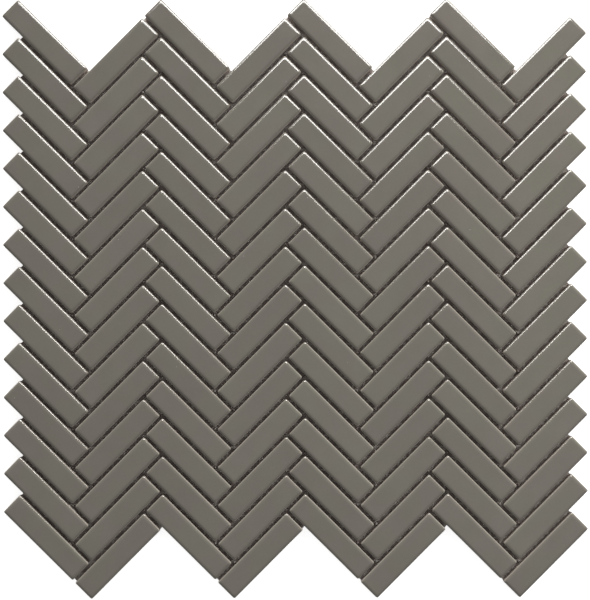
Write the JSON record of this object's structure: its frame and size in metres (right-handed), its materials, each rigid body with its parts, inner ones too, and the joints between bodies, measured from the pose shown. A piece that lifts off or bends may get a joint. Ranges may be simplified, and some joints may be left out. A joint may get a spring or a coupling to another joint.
{
  "type": "herringbone mosaic tile sheet",
  "caption": "Sheet of slim glazed porcelain tiles laid in a herringbone zigzag with open joints, held by a net backing, for setting on a wall or floor.",
  "frame": {"origin": "middle of the sheet's outline, on the back of the net backing, which lies on the floor", "axes": "+Z out of the glazed face, +Y up the sheet across its zigzag courses, +X along the courses"},
  "size_m": [0.301, 0.3086, 0.0066],
  "materials": {
    "glazed_porcelain": "gloss",
    "coated_net": "matte"
  },
  "bodies": {
    "root": {"mesh_backing": "coated_net", "tile_course_01": "glazed_porcelain", "tile_course_02": "glazed_porcelain", "tile_course_03": "glazed_porcelain", "tile_course_04": "glazed_porcelain", "tile_course_05": "glazed_porcelain", "tile_course_06": "glazed_porcelain", "tile_course_07": "glazed_porcelain", "tile_course_08": "glazed_porcelain", "tile_course_09": "glazed_porcelain", "tile_course_10": "glazed_porcelain", "tile_course_11": "glazed_porcelain", "tile_course_12": "glazed_porcelain", "tile_course_13": "glazed_porcelain", "tile_course_14": "glazed_porcelain"}
  },
  "joints": []
}
